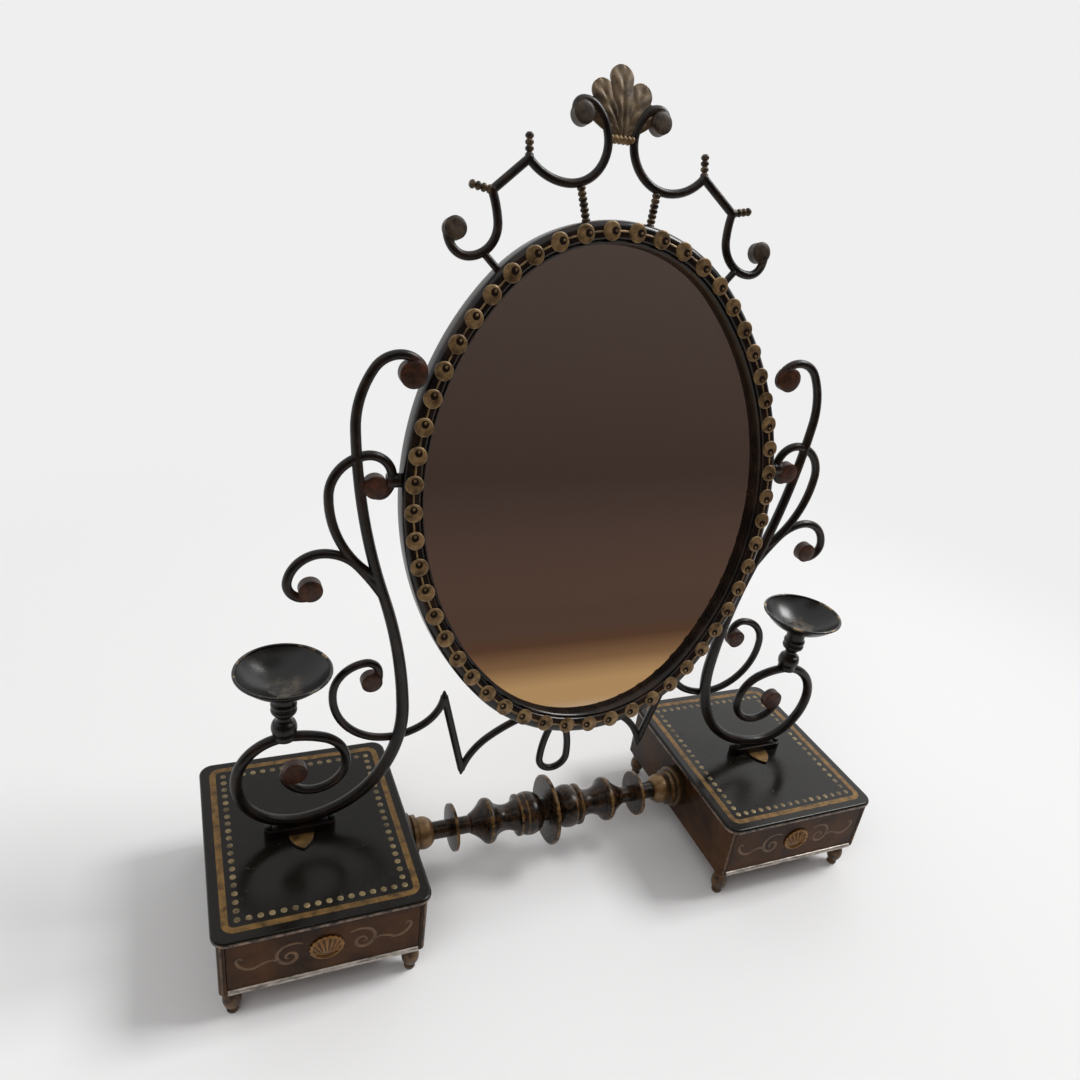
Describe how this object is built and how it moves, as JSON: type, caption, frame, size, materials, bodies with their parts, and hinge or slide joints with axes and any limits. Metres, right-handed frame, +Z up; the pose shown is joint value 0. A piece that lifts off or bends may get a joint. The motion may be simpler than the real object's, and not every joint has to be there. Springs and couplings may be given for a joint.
{
  "type": "table mirror",
  "caption": "Oval tilting table mirror on scrolled iron uprights between two lacquered drawer boxes, with candle dishes and a turned spindle.",
  "frame": {"origin": "on the table under the middle of the object, halfway between the two boxes", "axes": "+Z up, -Y towards the user (drawer fronts), +X to the right box as the user sees it"},
  "size_m": [0.522, 0.17, 0.5842],
  "materials": {
    "frame_lacquer": "black lacquer on wood, worn gloss",
    "silvered_glass": "old silvered plate glass",
    "bare_wood": "plain planed wood",
    "bare_iron": "dull iron",
    "gilt": "worn gilding",
    "bronzed_iron": "black enamel with bronze powder on the beads",
    "wrought_iron": "black enamel, satin",
    "spindle_lacquer": "black lacquer with gilt rings on turned wood",
    "gilt_wood": "worn bronze gilding on turned wood",
    "box_lacquer": "dark lacquer on wood",
    "lid_lacquer": "black lacquer with gilt line and dots, scuffed",
    "silvered_bead": "worn silver-grey bead",
    "drawer_lacquer": "brown lacquer with painted gilt scrolls",
    "shoe_iron": "black enamel with a gilt tongue",
    "dish_iron": "black enamel, rim worn to tan"
  },
  "bodies": {
    "base": {"cross_rail": "wrought_iron", "rail_drop": "wrought_iron", "spindle": "spindle_lacquer", "spindle_collars": "gilt_wood", "pivot_pins": "bare_iron", "pivot_washers": "bare_iron", "left_box_case": "box_lacquer", "left_box_lid": "lid_lacquer", "left_base_bead": "silvered_bead", "left_box_feet": "gilt_wood", "left_upright": "wrought_iron", "left_shoe": "shoe_iron", "left_shoe_screws": "bare_iron", "left_candle_stem": "wrought_iron", "left_candle_dish": "dish_iron", "right_box_case": "box_lacquer", "right_box_lid": "lid_lacquer", "right_base_bead": "silvered_bead", "right_box_feet": "gilt_wood", "right_upright": "wrought_iron", "right_shoe": "shoe_iron", "right_shoe_screws": "bare_iron", "right_candle_stem": "wrought_iron", "right_candle_dish": "dish_iron"},
    "mirror": {"mirror_frame": "frame_lacquer", "mirror_glass": "silvered_glass", "back_board": "bare_wood", "back_nails": "bare_iron", "frame_studs": "gilt", "crest_posts": "bronzed_iron", "crest_stubs": "wrought_iron", "crest_finials": "bronzed_iron", "crest_tie": "bronzed_iron", "crest_leaf": "gilt", "left_crest_bar": "wrought_iron", "right_crest_bar": "wrought_iron"},
    "left_drawer": {"left_drawer_front": "drawer_lacquer", "left_drawer_tray": "bare_wood", "left_drawer_shell": "gilt"},
    "right_drawer": {"right_drawer_front": "drawer_lacquer", "right_drawer_tray": "bare_wood", "right_drawer_shell": "gilt"}
  },
  "joints": [
    {"name": "mirror_tilt", "type": "hinge", "parent": "base", "child": "mirror", "pos_m": [0, 0, 0.3458], "axis": [1, 0, 0], "range_deg": [-19, 31]},
    {"name": "left_drawer_slide", "type": "slide", "parent": "base", "child": "left_drawer", "axis": [0, -1, 0], "range_m": [0, 0.11]},
    {"name": "right_drawer_slide", "type": "slide", "parent": "base", "child": "right_drawer", "axis": [0, -1, 0], "range_m": [0, 0.11]}
  ]
}
